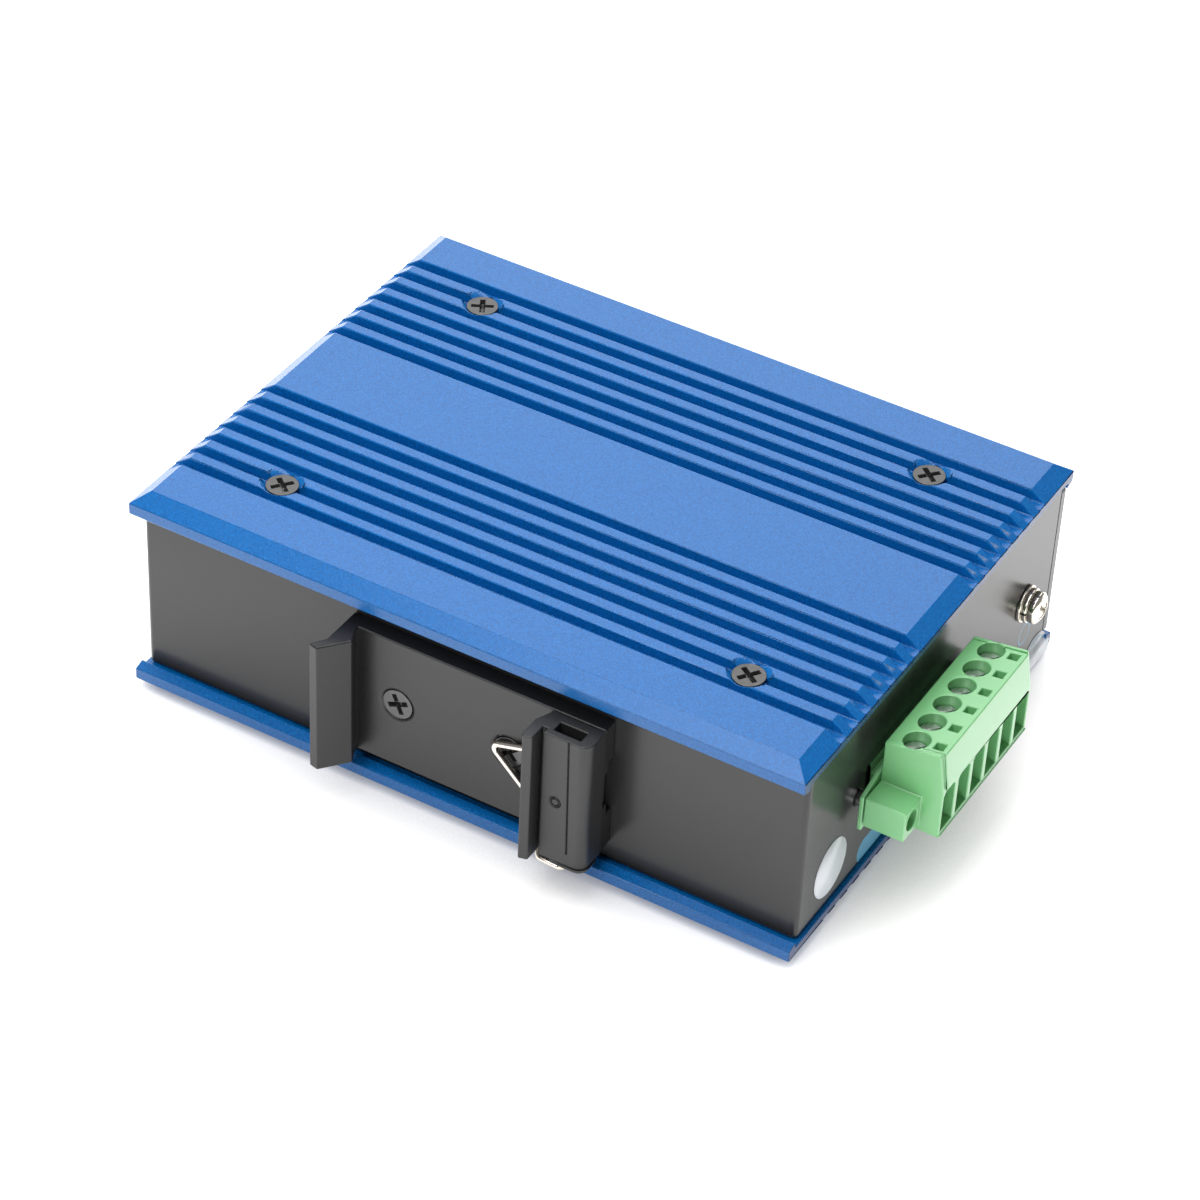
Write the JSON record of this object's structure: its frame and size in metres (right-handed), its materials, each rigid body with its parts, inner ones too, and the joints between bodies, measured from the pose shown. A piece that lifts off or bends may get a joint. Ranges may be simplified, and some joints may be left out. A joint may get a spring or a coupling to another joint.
{
  "type": "ethernet switch",
  "caption": "Rail-mounting network switch: grooved blue side plates, folded black housing, sprung rail clip, network sockets and a green pluggable screw terminal.",
  "frame": {"origin": "centre of the lower side plate's outer face", "axes": "+X along the plates' grooves to the power terminal, +Y from the rail clip to the network sockets, +Z from the lower to the upper side plate"},
  "size_m": [0.1346, 0.0999, 0.04],
  "materials": {
    "blue_anodised": "bead-blasted and anodised blue, satin",
    "black_sheet": "satin black powder coat on steel",
    "black_screw": "blackened steel, semi-gloss",
    "black_foot": "black anodised extrusion, satin",
    "black_jaw": "black moulded nylon, fine grain",
    "spring_wire": "bright spring steel",
    "nickel_plate": "nickel plate",
    "zinc_plate": "bright zinc plate",
    "brass_turned": "turned brass",
    "tin_plate": "tin plate",
    "green_housing": "light green polyamide, semi-gloss",
    "board_laminate": "green solder mask",
    "black_moulding": "black moulding compound",
    "grey_ferrite": "moulded ferrite",
    "can_aluminium": "bright aluminium",
    "socket_shield": "tinned sheet",
    "gold_contact": "gold flash",
    "lamp_lens": "clear tinted lens"
  },
  "bodies": {
    "case": {"board_pillars": "brass_turned", "board_screws": "zinc_plate", "bulk_capacitors": "can_aluminium", "chip_heat_sink": "can_aluminium", "circuit_board": "board_laminate", "clamp_cages": "zinc_plate", "clamp_screws": "zinc_plate", "clip_screws": "black_screw", "clip_spring": "spring_wire", "clock_crystal": "zinc_plate", "din_clip_base": "black_foot", "earth_flat_washer": "nickel_plate", "earth_screw": "nickel_plate", "earth_spring_washer": "nickel_plate", "fault_relay": "black_moulding", "flange_nuts": "zinc_plate", "front_panel": "black_sheet", "front_panel_screws": "black_screw", "header_nuts": "brass_turned", "header_pins": "tin_plate", "housing_wrap": "black_sheet", "input_fuses": "black_moulding", "lamp_tower": "black_moulding", "line_transformers": "black_moulding", "lower_plate_screws": "black_screw", "lower_side_plate": "blue_anodised", "plug_contacts": "tin_plate", "plug_flange_screws": "zinc_plate", "port_1_contacts": "gold_contact", "port_1_insert": "black_moulding", "port_1_shield": "socket_shield", "port_2_contacts": "gold_contact", "port_2_insert": "black_moulding", "port_2_shield": "socket_shield", "port_3_contacts": "gold_contact", "port_3_insert": "black_moulding", "port_3_shield": "socket_shield", "port_4_contacts": "gold_contact", "port_4_insert": "black_moulding", "port_4_shield": "socket_shield", "port_5_contacts": "gold_contact", "port_5_insert": "black_moulding", "port_5_shield": "socket_shield", "port_lamps": "lamp_lens", "power_chokes": "grey_ferrite", "power_controller": "black_moulding", "status_lamps": "lamp_lens", "switch_chip": "black_moulding", "terminal_header": "green_housing", "terminal_plug": "green_housing", "upper_plate_screws": "black_screw", "upper_side_plate": "blue_anodised", "wall_nuts": "zinc_plate"},
    "jaw": {"clip_jaw": "black_jaw"}
  },
  "joints": [
    {"name": "jaw_slide", "type": "slide", "parent": "case", "child": "jaw", "axis": [1, 0, 0], "range_m": [0, 0.0035], "stiffness_N_per_m": 3000, "deforming": ["clip_spring"]}
  ]
}
